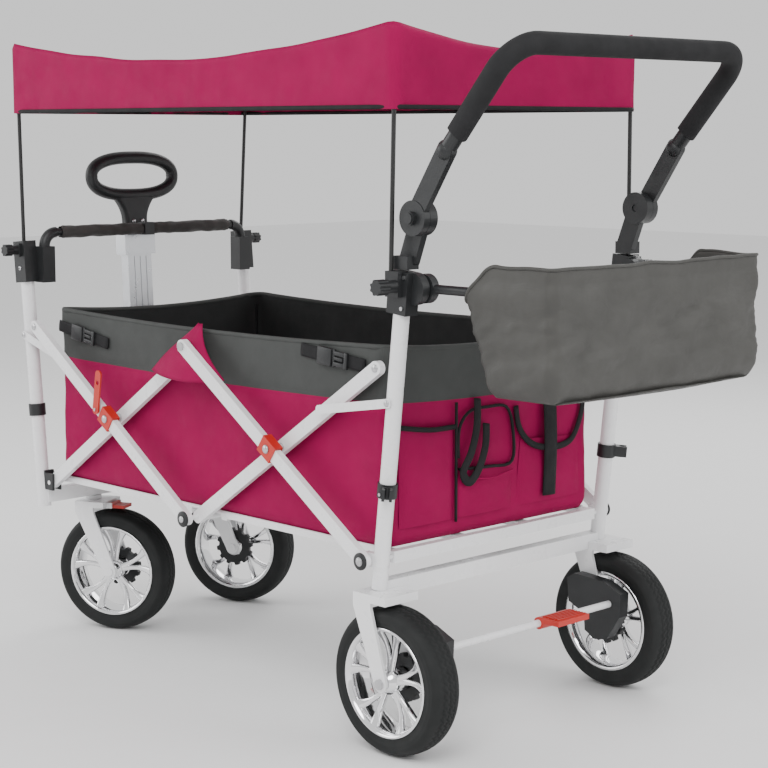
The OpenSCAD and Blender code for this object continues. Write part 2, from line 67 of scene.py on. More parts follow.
CANOPY_HALF = 282.0
CANOPY_Z = (973.0, 1096.0)
BAG_HALF = 250.0
POST_X, POST_BASE_Z = 448.5, 230      # foot of the post lines, the same at both ends
REAR_LEAN, FRONT_LEAN = .1122, .0928  # how far a post leans out for each millimetre up
FRONT_PIVOT, REAR_PIVOT, MIDDLE_X, LOW_Z, HIGH_Z = -428, 440, 6, 295, 587
FRONT_CROSS_X, REAR_CROSS_X, CROSS_Z = -211, 223, 441
SIDES = ((-1, "left"), (1, "right"))


def place(x, y, z):
    """Model millimetres to the row frame's metres."""
    return Vector(((x - ORIGIN_X) / 1000, y / 1000, z / 1000))


def wave(x, y, z, size, seed=0.0):
    """Smooth noise from -1 to 1, with features of about size millimetres."""
    return noise.noise(Vector((x / size + seed, y / size - seed, z / size + 0.5 * seed)))


def front_post_x(z):
    return -POST_X - (z - POST_BASE_Z) * FRONT_LEAN


def rear_post_x(z):
    return POST_X + (z - POST_BASE_Z) * REAR_LEAN


# ---------------------------------------------------------------- materials
def material(name, colour, rough, metal=0.0, grain=0.0, grain_scale=400.0, mottle=0.0,
             weave=0.0, crease=0.0, sheen=0.0, coat=0.0, specular=0.5):
    """Procedural material: mottled colour, uneven roughness, and bumps for creases, weave and grain."""
    mat = bpy.data.materials.new(name)
    mat.use_nodes = True
    nodes, links = mat.node_tree.nodes, mat.node_tree.links
    shader = nodes["Principled BSDF"]
    shader.inputs["Metallic"].default_value = metal
    shader.inputs["Specular IOR Level"].default_value = specular
    shader.inputs["Sheen Weight"].default_value = sheen
    shader.inputs["Coat Weight"].default_value = coat
    coords = nodes.new("ShaderNodeTexCoord").outputs["Object"]

    def noise_node(scale, detail):
        node = nodes.new("ShaderNodeTexNoise")
        node.inputs["Scale"].default_value = scale
        node.inputs["Detail"].default_value = detail
        links.new(coords, node.inputs["Vector"])
        return node.outputs["Fac"]

    def ramp(source, low, high):
        node = nodes.new("ShaderNodeValToRGB")
        node.color_ramp.elements[0].position = 0.3
        node.color_ramp.elements[1].position = 0.7
        node.color_ramp.elements[0].color = (*low, 1)
        node.color_ramp.elements[1].color = (*high, 1)
        links.new(source, node.inputs["Fac"])
        return node.outputs["Color"]

    broad = noise_node(14, 4)
    dark = [c * (1 - mottle) for c in colour]
    light = [min(1, c * (1 + mottle)) for c in colour]
    links.new(ramp(broad, dark, light), shader.inputs["Base Color"])
    worn = [max(.03, rough - 0.06)] * 3
    dull = [min(1, rough + 0.06)] * 3
    links.new(ramp(noise_node(45, 3), worn, dull), shader.inputs["Roughness"])

    normal = None

    def bump(source, strength, distance):
        nonlocal normal
        node = nodes.new("ShaderNodeBump")
        node.inputs["Strength"].default_value = strength
        node.inputs["Distance"].default_value = distance
        links.new(source, node.inputs["Height"])
        if normal:
            links.new(normal, node.inputs["Normal"])
        normal = node.outputs["Normal"]

    if crease:
        bump(noise_node(22, 2), crease, 0.006)
    if weave:
        for direction in ("X", "Y", "Z"):
            node = nodes.new("ShaderNodeTexWave")
            node.bands_direction = direction
            node.inputs["Scale"].default_value = 260
            links.new(coords, node.inputs["Vector"])
            bump(node.outputs["Fac"], weave, 0.0003)
    if grain:
        bump(noise_node(grain_scale, 3), grain, 0.0006)
    if normal:
        links.new(normal, shader.inputs["Normal"])
    return mat


WHITE = material("white_powder_coat", (.83, .83, .84), .30, grain=.08, grain_scale=900, mottle=.01, coat=.3)
BLACK = material("black_plastic", (.016, .017, .018), .42, grain=.25, mottle=.15, specular=0.4)
ROD = material("black_rod", (.012, .012, .012), .35, grain=.05, mottle=.1)
FOAM = material("foam", (.014, .014, .015), .85, grain=.7, grain_scale=700, mottle=.2, specular=0.3)
MAGENTA = material("magenta_cloth", (.270, .001, .058), .62, weave=.22, crease=.30, mottle=.08,
                   specular=0.1)
GREY = material("grey_cloth", (.052, .055, .053), .66, weave=.25, crease=.3, mottle=.08, specular=0.2)
BAG_GREY = material("bag_cloth", (.058, .057, .053), .50, weave=.2, crease=.6, mottle=.1, specular=0.25)
LINING = material("lining_cloth", (.020, .021, .021), .7, weave=.25, crease=.3, mottle=.1, specular=0.2)
SLEEVE = material("sleeve_cloth", (.040, .037, .035), .7, weave=.3, crease=.5, mottle=.12, sheen=.1,
                  specular=0.25)
PIPING = material("black_binding", (.012, .012, .013), .65, weave=.5, mottle=.1, specular=0.2)
RUBBER = material("tyre_rubber", (.011, .012, .012), .68, grain=.3, grain_scale=500, mottle=.12,
                  specular=0.3)
CHROME = material("chrome", (.86, .86, .87), .10, metal=1, grain=.02, mottle=.01)
STEEL = material("steel", (.55, .55, .56), .3, metal=1, grain=.1, mottle=.04)
RED = material("red_plastic", (.50, .018, .010), .38, grain=.15, mottle=.05)
ALUMINIUM = material("aluminium", (.62, .63, .65), .32, metal=.9, grain=.12, mottle=.03)

CAD_LOOKS = {
    WHITE: ["rear_posts", "rear_cross_bar", "rear_forks", "outer_bars_rear", "inner_bars_rear",
            "inner_bars_front", "outer_bars_front", "rear_links", "front_links", "front_posts",
            "front_cross_bar", "caster_fork_left", "caster_fork_right", "brake_rod",
            "floor_rear", "floor_front"],
    BLACK: ["rear_post_clips", "rear_clamps", "handle_uprights", "brake_housings", "push_arms",
            "ratchet_button_left", "ratchet_button_right", "bag_frame", "rear_knob_left",
            "rear_knob_right", "front_knob_left", "front_knob_right", "front_brackets",
            "front_bar"],
    ROD: ["rear_canopy_rods", "front_canopy_rods"],
    FOAM: ["push_grip"],
    STEEL: ["rear_fasteners", "pivot_pins_rear", "pivot_pins_front"],
    RED: ["brake_pedal", "red_brackets_rear", "red_brackets_front", "lock_strap_left",
          "lock_strap_right", "caster_lock_left", "caster_lock_right"],
    ALUMINIUM: ["pull_channel", "pull_stem"],
}
for look, names in CAD_LOOKS.items():
    for name in names:
        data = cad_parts[name].data
        data.materials.clear()
        data.materials.append(look)


# ---------------------------------------------------------------- mesh helpers
def piece(name, points, faces, mats, body, slot, face_mat=None, smooth=True):
    """Mesh piece from points in model millimetres, riding on a body."""
    data = bpy.data.meshes.new(name)
    data.from_pydata([place(*p) for p in points], [], faces)
    for mat in mats if isinstance(mats, (list, tuple)) else [mats]:
        data.materials.append(mat)
    for polygon in data.polygons:
        polygon.use_smooth = smooth
        if face_mat:
            polygon.material_index = face_mat[polygon.index]
    mesh = bmesh.new()
    mesh.from_mesh(data)
    bmesh.ops.remove_doubles(mesh, verts=mesh.verts, dist=1e-6)
    bmesh.ops.recalc_face_normals(mesh, faces=mesh.faces)
    mesh.to_mesh(data)
    mesh.free()
    obj = bpy.data.objects.new(name, data)
    bpy.context.scene.collection.objects.link(obj)
    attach(obj, body)
    return obj


def grid(nu, nv, function, wrap=False):
    """Points and quads of a grid; function takes u and v from 0 to 1."""
    columns = nu if wrap else nu + 1
    points = [function(i / nu, j / nv) for i in range(columns) for j in range(nv + 1)]
    faces = []
    for i in range(nu):
        for j in range(nv):
            a, b = i * (nv + 1) + j, ((i + 1) % columns) * (nv + 1) + j
            faces.append((a, b, b + 1, a + 1))
    return points, faces


def joined(*parts):
    """Several sets of points and faces as one."""
    points, faces = [], []
    for some_points, some_faces in parts:
        start = len(points)
        points += some_points
        faces += [tuple(start + i for i in face) for face in some_faces]
    return points, faces


STEPS_PER_KNOT = 5


def tube(path, radius, flat=1.0, closed=False, around=10, normal=None):
    """Round or flattened tube along a path, smoothed by Catmull-Rom; it is flat along normal."""
    knots = [Vector(p) for p in path]
    count, line = len(knots), []
    for i in range(count if closed else count - 1):
        def knot(k):
            return knots[k % count] if closed else knots[min(max(k, 0), count - 1)]
        a, b, c, d = knot(i - 1), knot(i), knot(i + 1), knot(i + 2)
        for step in range(STEPS_PER_KNOT):
            t = step / STEPS_PER_KNOT
            line.append(.5 * (2 * b + (c - a) * t + (2 * a - 5 * b + 4 * c - d) * t * t
                              + (3 * b - a - 3 * c + d) * t ** 3))
    if not closed:
        line.append(knots[-1])
    total, points = len(line), []
    for i, p in enumerate(line):
        after = line[(i + 1) % total] if closed or i + 1 < total else p
        before = line[i - 1] if closed or i else p
        along = (after - before).normalized()
        side = Vector(normal) if normal else along.cross(Vector((0, 0, 1)))
        side -= along * side.dot(along)
        side = side.normalized() if side.length > .1 else Vector((0, 1, 0))
        up = side.cross(along)
        for k in range(around):
            a = 2 * math.pi * k / around
            points.append(p + side * radius * flat * math.cos(a) + up * radius * math.sin(a))
    faces = []
    for i in range(total if closed else total - 1):
        for k in range(around):
            a, b = i * around, ((i + 1) % total) * around
            faces.append((a + k, a + (k + 1) % around, b + (k + 1) % around, b + k))
    if not closed:
        faces += [tuple(range(around)), tuple((total - 1) * around + k for k in range(around))]
    return points, faces


def bevelled(obj, width=.0015, segments=2):
    """The same object with its sharp edges rounded; width is in metres."""
    mod = obj.modifiers.new("edges", "BEVEL")
    mod.width = width
    mod.segments = segments
    mod.limit_method = "ANGLE"
    return obj


def box(low, high):
    """Points and faces of a box between two corners."""
    x0, y0, z0 = low
    x1, y1, z1 = high
    points = [(x, y, z) for x in (x0, x1) for y in (y0, y1) for z in (z0, z1)]
    return points, [(0, 1, 3, 2), (4, 6, 7, 5), (0, 4, 5, 1), (2, 3, 7, 6), (0, 2, 6, 4), (1, 5, 7, 3)]


def loop_point(t, x0, x1, half, radius):
    """Point and outward normal on a rounded rectangle, by its share of the perimeter."""
    straight_x, straight_y = x1 - x0 - 2 * radius, 2 * half - 2 * radius
    arc = math.pi / 2 * radius
    distance = t % 1 * 2 * (straight_x + straight_y + 2 * arc)
    corners = ((x1 - radius, half - radius), (x0 + radius, half - radius),
               (x0 + radius, -half + radius), (x1 - radius, -half + radius))
    lengths = (straight_y, straight_x, straight_y, straight_x)
    normals = ((1, 0), (0, 1), (-1, 0), (0, -1))
    starts = ((x1, -half + radius), (x1 - radius, half), (x0, half - radius), (x0 + radius, -half))
    moves = ((0, 1), (-1, 0), (0, -1), (1, 0))
    for k in range(4):
        if distance <= lengths[k]:
            return (starts[k][0] + moves[k][0] * distance, starts[k][1] + moves[k][1] * distance,
                    *normals[k])
        distance -= lengths[k]
        if distance <= arc:
            angle = math.pi / 2 * k + distance / radius
            nx, ny = math.cos(angle), math.sin(angle)
            return corners[k][0] + radius * nx, corners[k][1] + radius * ny, nx, ny
        distance -= arc
    return x1, -half + radius, 1, 0


# ---------------------------------------------------------------- wheels
def lathe(profile, mapping, steps=96):
    """Profile of (radius, y) pairs turned about the wheel's axis."""
    def point(u, v):
        radius, y = profile[round(v * (len(profile) - 1))]
        a = 2 * math.pi * u
        return mapping(radius * math.cos(a), y, radius * math.sin(a))
    return grid(steps, len(profile) - 1, point, wrap=True)


def tyre_mesh(mapping):
    """Tyre with side walls, a raised line on each, and zigzag grooves round the tread."""
    def point(u, v):
        a = 2 * math.pi * u
        if v < .16 or v > .84:
            share = v / .16 if v < .16 else (1 - v) / .16
            sign = -1 if v < .5 else 1
            radius = TYRE_INNER_R + (TREAD_EDGE_R - TYRE_INNER_R) * share
            y = sign * (26 + 2 * math.sin(math.pi / 2 * share))
            if abs(share - .55) < .08:
                y += sign * .6
        else:
            y = (v - .5) / .34 * TYRE_HALF
            radius = TREAD_EDGE_R + (WHEEL_R - TREAD_EDGE_R) * (1 - abs(y / TYRE_HALF) ** 2.6) ** .7
            zigzag = 3.2 * (abs((u * TREAD_LUGS) % 1 - .5) * 4 - 1)
            groove = min(abs(y - middle - zigzag) for middle in (-11, 0, 11))
            radius -= 2.6 * max(0, 1 - groove / 1.8)
        return mapping(radius * math.cos(a), y, radius * math.sin(a))
    return grid(240, 44, point, wrap=True)


def spoke(angle, lean, mapping):
    """Dished spoke of a twin pair; lean is +1 or -1 and spreads its outer end."""
    def point(u, v):
        radius = 17 + 62 * u
        turn = angle + lean * math.radians(7 + 9 * u * u)
        width = 6.0 - 3.0 * math.sin(math.pi * u) + 2.5 * u
        a = 2 * math.pi * v
        across = width * math.copysign(abs(math.cos(a)) ** .6, math.cos(a))
        deep = 5 * math.copysign(abs(math.sin(a)) ** .6, math.sin(a))
        y = 13 - 6 * math.sin(math.pi * u) + 5 * u + deep
        return mapping(radius * math.cos(turn) - across * math.sin(turn), y,
                       radius * math.sin(turn) + across * math.cos(turn))
    return grid(14, 14, point)


def toothed_ring(mapping):
    """Ring of square teeth on the inboard side of the hub."""
    def point(u, v):
        tooth = 38 if math.sin(2 * math.pi * RING_TEETH * u) > 0 else 33
        radius, y = ((18, -26), (tooth, -26), (tooth, -16), (18, -16))[round(v * 3)]
        a = 2 * math.pi * u
        return mapping(radius * math.cos(a), y, radius * math.sin(a))
    return grid(144, 3, point, wrap=True)


def wheel(tag, mapping, body, tyre_node, rim_node):
    """Tyre, chrome rim and toothed ring; mapping turns wheel millimetres into model millimetres."""
    tyre = piece(f"tyre_{tag}", *tyre_mesh(mapping), RUBBER, body, "tyre_rubber")
    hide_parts(tyre_node)
    ring = lathe([(85.6, -26), (85.6, 26), (84.5, 28), (82.5, 28), (80, 26), (77, 20), (75, 10),
                  (74.5, 0), (75, -14), (79, -25), (85.6, -26)], mapping)
    hub = lathe([(5.2, 27), (9, 28), (13, 27), (15, 22), (19, 19), (20, 6), (17, -10), (17, -28),
                 (5.2, -28)], mapping, 48)
    spokes = [spoke(2 * math.pi * k / SPOKE_PAIRS + .3, lean, mapping)
              for k in range(SPOKE_PAIRS) for lean in (-1, 1)]
    rim = piece(f"rim_{tag}", *joined(ring, hub, *spokes), CHROME, body, "chrome_rim")
    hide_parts(rim_node)
    brake_ring = piece(f"brake_ring_{tag}", *toothed_ring(mapping), BLACK, body, "black_plastic",
                       smooth=False)
    bevelled(brake_ring, .001)


def rear_wheel_at(side):
    """Mapping for a rear wheel, on its fixed axle."""
    return lambda x, y, z: (REAR_HUB_X + x, side * (TRACK_HALF + y), WHEEL_R + z)


def front_wheel_at(side):
    """Mapping for a front wheel, behind its caster's stem and turned by the caster's yaw."""
    c, s = math.cos(CASTER_YAW), math.sin(CASTER_YAW)

    def mapping(x, y, z):
        along, across = CASTER_TRAIL + x, side * y
        return (STEM_X + along * c - across * s, side * STEM_HALF + along * s + across * c, WHEEL_R + z)
    return mapping


for side, word in SIDES:
    for end, wheel_at in (("rear", rear_wheel_at), ("front", front_wheel_at)):
        wheel(f"{end}_{word}", wheel_at(side), f"{end}_wheel_{word}",
              f"{end}_tyre_{word}", f"{end}_rim_{word}")


# ---------------------------------------------------------------- canopy
CANOPY_MID = sum(CANOPY_X) / 2
CANOPY_HALF_X = (CANOPY_X[1] - CANOPY_X[0]) / 2
CANOPY_CORNER = 14    # corner radius in plan


def roof_height(x, y):
    """Roof sheet pulled up at its four corners, sagging between them."""
    across = min(1, abs((x - CANOPY_MID) / CANOPY_HALF_X))
    along = min(1, abs(y / CANOPY_HALF))
    sag = 40 * (1 - across ** 1.7) + 30 * (1 - along ** 1.7)
    pull = math.exp(-math.hypot((1 - across) * CANOPY_HALF_X, (1 - along) * CANOPY_HALF) / 90)
    return CANOPY_Z[1] - sag + 4 * pull + 2.5 * wave(x, y, 0, 110) * (1 - pull)


def canopy_mesh():
    """Roof, rounded edge and hanging hem as one sheet, drawn outwards from the middle."""
    def point(u, v):
        x, y, nx, ny = loop_point(u, *CANOPY_X, CANOPY_HALF, CANOPY_CORNER)
        if v <= .5:
            share = min(1, v * 2 * 1.02)
            px = CANOPY_MID + (x - CANOPY_MID) * share
            py = y * share
            inner = (1 - 3 / CANOPY_HALF) if share >= .99 else 1
            return px * inner + CANOPY_MID * (1 - inner), py * inner, roof_height(px, py)
        share = (v - .5) * 2
        top = roof_height(x, y) - 3
        z = top + (CANOPY_Z[0] - top) * share
        corner = 1 - abs(abs((x - CANOPY_MID) / CANOPY_HALF_X) - abs(y / CANOPY_HALF))
        drag = 2.0 * wave(x + z, y, z * .4, 70, 3) + 1.4 * wave(x, y, z * .3, 28, 7)
        inward = 2.5 * math.sin(math.pi * share) * (1 - corner)
        return x - nx * (1.5 + inward) + nx * drag * .6, y - ny * (1.5 + inward) + ny * drag * .6, z
    return grid(300, 40, point, wrap=True)


def hem_path(z, inset=1.0):
    """Loop along the canopy's lower edge at height z."""
    return [(loop_point(i / 64, *CANOPY_X, CANOPY_HALF, CANOPY_CORNER)[0],
             loop_point(i / 64, *CANOPY_X, CANOPY_HALF - inset, CANOPY_CORNER)[1], z) for i in range(64)]


def folds(obj):
    """Give a soft piece its own copy of its mesh data."""
    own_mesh(obj)


canopy = piece("canopy_cloth", *canopy_mesh(), MAGENTA, "rear_frame", "magenta_fabric")
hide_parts("canopy")
canopy_hem = piece("canopy_hem", *tube(hem_path(CANOPY_Z[0] + 3), 3.6, .6, closed=True), PIPING,
                   "rear_frame", "black_plastic")
for obj in (canopy, canopy_hem):
    folds(obj)


# ---------------------------------------------------------------- basket
BASKET_MID = sum(BASKET_X) / 2
BASKET_HALF_X = (BASKET_X[1] - BASKET_X[0]) / 2
on_basket = []


def rim_height(x, y):
    """Height of the basket's rim, lower between its four corners."""
    along = min(1, abs((x - BASKET_MID) / BASKET_HALF_X))
    return BASKET_Z[1] + 2 - 9 * (1 - along ** 2) - 12 * (1 - (y / BASKET_HALF) ** 2) * (along > .97)


def wall_point(t, height, inset):
    """Point on the basket's wall; height runs from 0 at the floor to 1 at the rim."""
    x, y, nx, ny = loop_point(t, *BASKET_X, BASKET_HALF, 22)
    z = BASKET_Z[0] + (rim_height(x, y) - BASKET_Z[0]) * height
    slack = math.sin(math.pi * height)
    dent = 4.5 * slack * (.5 + .5 * wave(x, y, z, 120, 5)) + 1.6 * wave(x + .6 * z, y, z, 32, 2)
    seam = 1.8 * math.exp(-((z - SEAM_Z) / 5) ** 2)
    tuck = 9 * max(0, 1 - height / .06) ** 2
    back = inset + max(0, dent) + seam + tuck
    return x - nx * back, y - ny * back, z


outer_points, outer_faces = grid(260, 36, lambda u, v: wall_point(u, v, 1.0), wrap=True)
band = [int(sum(outer_points[i][2] for i in face) / 4 > SEAM_Z) for face in outer_faces]
basket = piece("basket_wall", outer_points, outer_faces, [MAGENTA, GREY], "basket_body",
               "magenta_fabric", band)
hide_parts("basket")


def lining_point(u, v):
    """Point on the lining: the floor for the first 0.3 of v, then up the wall."""
    if v >= .3:
        return wall_point(u, (v - .3) / .7, 5.0)
    x, y, _ = wall_point(u, .012, 6.0)
    share = v / .3
    return (BASKET_MID + (x - BASKET_MID) * share, y * share, 309.5)


lining = piece("basket_lining", *grid(200, 36, lining_point, wrap=True), LINING, "basket_body", "grey_fabric")
rim_path = [wall_point(i / 80, 1.0, 3.0) for i in range(80)]
basket_rim = piece("basket_rim", *tube(rim_path, 4.2, .8, closed=True), GREY, "basket_body", "grey_fabric")
on_basket += [basket, lining, basket_rim]


def trim(name, path, radius=2.8, mat=PIPING, flat=1.0, normal=(1, 0, 0)):
    """Piping, strap or rail sewn to the basket."""
    obj = piece(name, *tube(path, radius, flat, normal=normal), mat, "basket_body", "black_plastic")
    on_basket.append(obj)
    return obj


# Corner piping inside the basket
for k, t in enumerate((.175, .26, .675, .76)):
    x, y = (BASKET_X[1] - 12 if k in (0, 3) else BASKET_X[0] + 12), (BASKET_HALF - 12) * (1 if k < 2 else -1)
    trim(f"corner_piping_{k}", [(x, y, z) for z in (325, 420, 520, 598)], 2.6)


def patch(name, corners, bulge, mat, normal, nu=18, nv=14, ripple=1.2):
    """Puffed cloth patch between four corners, standing off along normal."""
    a, b, c, d = (Vector(p) for p in corners)

    def point(u, v):
        p = (a * (1 - u) + b * u) * (1 - v) + (d * (1 - u) + c * u) * v
        lift = bulge * (math.sin(math.pi * u) ** .5) * (math.sin(math.pi * min(1, v + .18) * .85 + .01))
        lift += ripple * wave(*p, 30, 9) * math.sin(math.pi * u)
        return tuple(p + Vector(normal) * max(0, lift))
    obj = piece(name, *grid(nu, nv, point), mat, "basket_body", "magenta_fabric")
    on_basket.append(obj)
    return obj


REAR_X = BASKET_X[1] - 1.5
OUT_X = (1, 0, 0)
TRIM_OFF = 4          # how far a trim stands off the rear wall
POCKETS = {"near": ((-215, 335), (-98, 335), (-96, 484), (-217, 492)),
           "zip": ((-90, 335), (40, 335), (40, 408), (-90, 412)),
           "far": ((50, 335), (212, 335), (205, 436), (62, 444))}
for name, outline in POCKETS.items():
    corners = [(REAR_X, y, z) for y, z in outline]
    patch(f"rear_pocket_{name}", corners, 8 if name == "far" else 9, MAGENTA, OUT_X)


def on_rear(*points):
    """Path over the rear wall; each point is its extra stand-off, then y and z."""
    return [(REAR_X + TRIM_OFF + off, y, z) for off, y, z in points]


trim("pocket_trim_near", on_rear((0, -217, 493), (5, -156, 484), (0, -96, 482)), 4.2, flat=.6)
trim("pocket_divider", on_rear((0, -93, 520), (0, -93, 420), (0, -93, 330)), 2.4)
trim("zip_piping", on_rear((0, -88, 431), (0, -86, 478), (0, -62, 503), (0, -20, 506), (0, 22, 502),
                           (0, 38, 470), (0, 38, 412), (3, -20, 410), (0, -86, 413)), 2.6)
trim("loop_strap", on_rear((0, -45, 522), (6, -52, 480), (8, -66, 440), (7, -84, 408), (8, -70, 392),
                           (7, -48, 410), (8, -34, 446), (2, -26, 480)), 8, flat=.28)
trim("cup_piping", on_rear((0, 46, 500), (0, 56, 462), (3, 84, 434), (6, 130, 424), (3, 180, 430),
                           (0, 208, 466), (0, 216, 505)), 5.5, flat=.5)
trim("cup_strap", on_rear((0, 128, 522), (5, 126, 470), (8, 124, 420), (7, 122, 345)), 16, flat=.16)
trim("flap_edge", on_rear((3, -80, 398), (8, -20, 392), (3, 36, 398)), 1.6, MAGENTA)


def side_strap(name, x0, z0, x1, z1, side):
    """Webbing with a side-release buckle, sewn to the grey band."""
    y = side * (BASKET_HALF + 1.5)
    webbing = [(x0 + (x1 - x0) * t, y, z0 + (z1 - z0) * t) for t in (0, .3, .6, 1)]
    trim(f"{name}_webbing", webbing, 11, flat=.14, normal=(0, 1, 0))
    slope = math.atan2(z1 - z0, x1 - x0)
    c, s = math.cos(slope), math.sin(slope)
    middle = ((x0 + x1) / 2, (z0 + z1) / 2)
    parts = []
    # Body, collar, two prongs, tongue and end bar: two corners along the strap, and a depth
    blocks = [((-30, -14), (2, 14), 6.5), ((2, -14), (8, 14), 4), ((6, -12), (34, -5), 5),
              ((6, 5), (34, 12), 5), ((6, -3), (26, 3), 4), ((30, -13), (37, 13), 5.5)]
    for (a0, h0), (a1, h1), deep in blocks:
        points, faces = box((a0, 0, h0), (a1, deep, h1))
        parts.append(([(middle[0] + a * c - h * s, y + side * d, middle[1] + a * s + h * c)
                       for a, d, h in points], faces))
    buckle = bevelled(piece(f"{name}_buckle", *joined(*parts), BLACK, "basket_body", "black_plastic"), .0012)
    on_basket.append(buckle)


for side, word in SIDES:
    side_strap(f"front_strap_{word}", -412, 588, -262, 566, side)
    side_strap(f"rear_strap_{word}", 256, 600, 402, 586, side)

    def hood(u, v, side=side):
        """Triangular flap from the rim down over the scissor's upper pivot."""
        across = (u - .5) * 2
        half = 6 + 92 * v ** 1.15
        out = 4 + 45 * math.sin(math.pi / 2 * min(1, v * 1.25)) * (1 - .35 * across ** 2)
        z = 622 - 84 * v - 10 * v * (1 - across ** 2) + 2 * wave(u * 90, v * 60, 0, 24, 4)
        return 4 + across * half, side * (BASKET_HALF + out), z
    flap = piece(f"apex_hood_{word}", *grid(24, 16, hood), MAGENTA, "basket_body", "magenta_fabric")
    flap.modifiers.new("cloth", "SOLIDIFY").thickness = .0015
    on_basket.append(flap)
    # White rails under the lower edge of the wall
    trim(f"lower_rail_{word}", [(x, side * (BASKET_HALF - 6), 305) for x in (-410, -100, 200, 436)],
         3.5, WHITE, normal=(0, 1, 0))

for obj in on_basket:
    folds(obj)


# ---------------------------------------------------------------- floor boards
BOARD_TOP, BOARD_EDGE, BOARD_BOTTOM = 318, 315, 312.2
for node, body in (("floor_mat_rear", "floor_panel_rear"), ("floor_mat_front", "floor_panel_front")):
    low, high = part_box(node)
    x0, x1 = low[0] * 1000 + ORIGIN_X, high[0] * 1000 + ORIGIN_X
    half = high[1] * 1000

    def board(u, v, x0=x0, x1=x1, half=half):
        """Point on a thin board with a soft cover: top, edge, then underside."""
        x, y, _, _ = loop_point(u, x0 + .5, x1 - .5, half - .5, 12)
        mx = (x0 + x1) / 2
        if v <= .45:
            share = v / .45
            z = BOARD_TOP - .8 * share + .5 * wave(x * share, y * share, 0, 60)
            return mx + (x - mx) * share * .985, y * share * .985, z
        if v >= .55:
            share = (1 - v) / .45
            return mx + (x - mx) * share * .985, y * share * .985, BOARD_BOTTOM
        return x, y, BOARD_EDGE
    mat = piece(node + "_cloth", *grid(96, 20, board, wrap=True), LINING, body, "grey_fabric")
    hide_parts(node)


# ---------------------------------------------------------------- bag
BAG_TOP, BAG_BOTTOM, BAG_FRONT_TOP = 752.0, 557.0, 696.0
BAG_X = (602, 788)
BAG_BASE_X = 705.0    # middle of the bag's base


def bag_point(u, v):
    """Point on the bag: the base for the first quarter of v, then up the wall to the hem."""
    h = max(0.0, (v - .25) / .75)
    taper = 40 * (1 - h)
    x, y, nx, ny = loop_point(u, BAG_X[0] + taper, BAG_X[1], BAG_HALF, 24)
    toward_front = max(0.0, min(1.0, (660 - x) / 55))
    top = BAG_TOP - (BAG_TOP - BAG_FRONT_TOP) * toward_front + 3 * wave(x, y, 0, 60, 2)
    sag = 7 * math.sin(math.pi * (y / BAG_HALF + 1) / 2)
    bottom = BAG_BOTTOM + 6 - sag * .6
    z = bottom + (top - bottom) * h
    if v < .25:
        share = v / .25
        z = BAG_BOTTOM + 3 + 5 * share ** 4 + 2 * wave(x * share, y * share, 0, 50)
        return BAG_BASE_X + (x - BAG_BASE_X) * share * .96, y * share * .97, z
    round_in = 12 * max(0, 1 - h / .14) ** 2
    hang = math.sin(math.pi * min(1, h * .9 + .08))
    wrinkle = hang * (7.5 * wave(x + .8 * z, y + 1.1 * z, z, 85, 1)
                      + 4.5 * wave(x - z, .8 * y - .9 * z, z, 38, 6)
                      + 2.0 * wave(x, y + 2.2 * z, 2 * z, 20, 8))
    casing = 1.5 * math.exp(-((z - (top - 22)) / 4) ** 2)
    back = max(-1.5, 6 + round_in + casing - wrinkle)
    over_arm = math.exp(-((z - 712) / 20) ** 2) * abs(ny)
    back = back * (1 - over_arm) + .8 * over_arm
    return x - nx * back, y - ny * back, z


bag = piece("bag_cloth", *grid(300, 52, bag_point, wrap=True), BAG_GREY, "bag_carrier", "grey_fabric")
bag.modifiers.new("cloth", "SOLIDIFY").thickness = .0015
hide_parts("rear_bag")
bag_hem = piece("bag_hem", *tube([bag_point(i / 90, 1.0) for i in range(90)], 2.6, .8, closed=True),
                BAG_GREY, "bag_carrier", "grey_fabric")
for obj in (bag, bag_hem):
    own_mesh(obj)


# ---------------------------------------------------------------- sleeves
for side, word in SIDES:
    def sleeve(u, v, side=side):
        """Flat cut wrapped round the bar, with its seam underneath."""
        a = -math.pi / 2 + 2 * math.pi * (.01 + .98 * u)
        y = 12.5 + 187 * v
        radius = 11.6 + 1.7 * wave(20 * math.cos(a), y, 20 * math.sin(a), 18, 5) - 1.5 * (v > .97 or v < .03)
        return -468 + radius * math.cos(a), side * y, 755 + radius * math.sin(a)
    piece(f"sleeve_{word}", *grid(36, 60, sleeve), SLEEVE, "front_frame", "grey_fabric")
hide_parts("front_sleeves")


# ---------------------------------------------------------------- small hardware
def screw(name, x, y, z, side, body, radius=4.2):
    """Domed steel screw head facing sideways, with painted shade for its cross recess: black bars, not a
    hollow.
    """
    head = lathe([(radius, 0), (radius, 1.0), (radius * .8, 1.9), (radius * .4, 2.3), (.01, 2.4)],
                 lambda a, b, c: (x + a, y + side * b, z + c), 24)
    piece(name, *head, STEEL, body, "steel_fasteners")
    # Painted shade: black bars standing through the dome stand for the dark hollow of the cross recess; no
    # recess is cut.
    arm = radius * .62
    cross = joined(box((x - arm, y + side * 1.9, z - .5), (x + arm, y + side * 2.5, z + .5)),
                   box((x - .5, y + side * 1.9, z - arm), (x + .5, y + side * 2.5, z + arm)))
    piece(name + "_recess_painted_shade", *cross, BLACK, body, "black_plastic", smooth=False)


for side, word in SIDES:
    for z in (690, 728):
        screw(f"front_bracket_screw_{word}_{z}", front_post_x(z), side * 273, z, side, "front_frame")


def disc(name, x, z, y, side, radius, depth, mat, body, slot):
    """Domed cap or rivet head that stands off a side face."""
    profile = [(radius, 0), (radius, depth * .6), (radius * .85, depth * .9), (.01, depth)]
    piece(name, *lathe(profile, lambda a, b, c: (x + a, side * (y + b), z + c), 32), mat, body, slot)


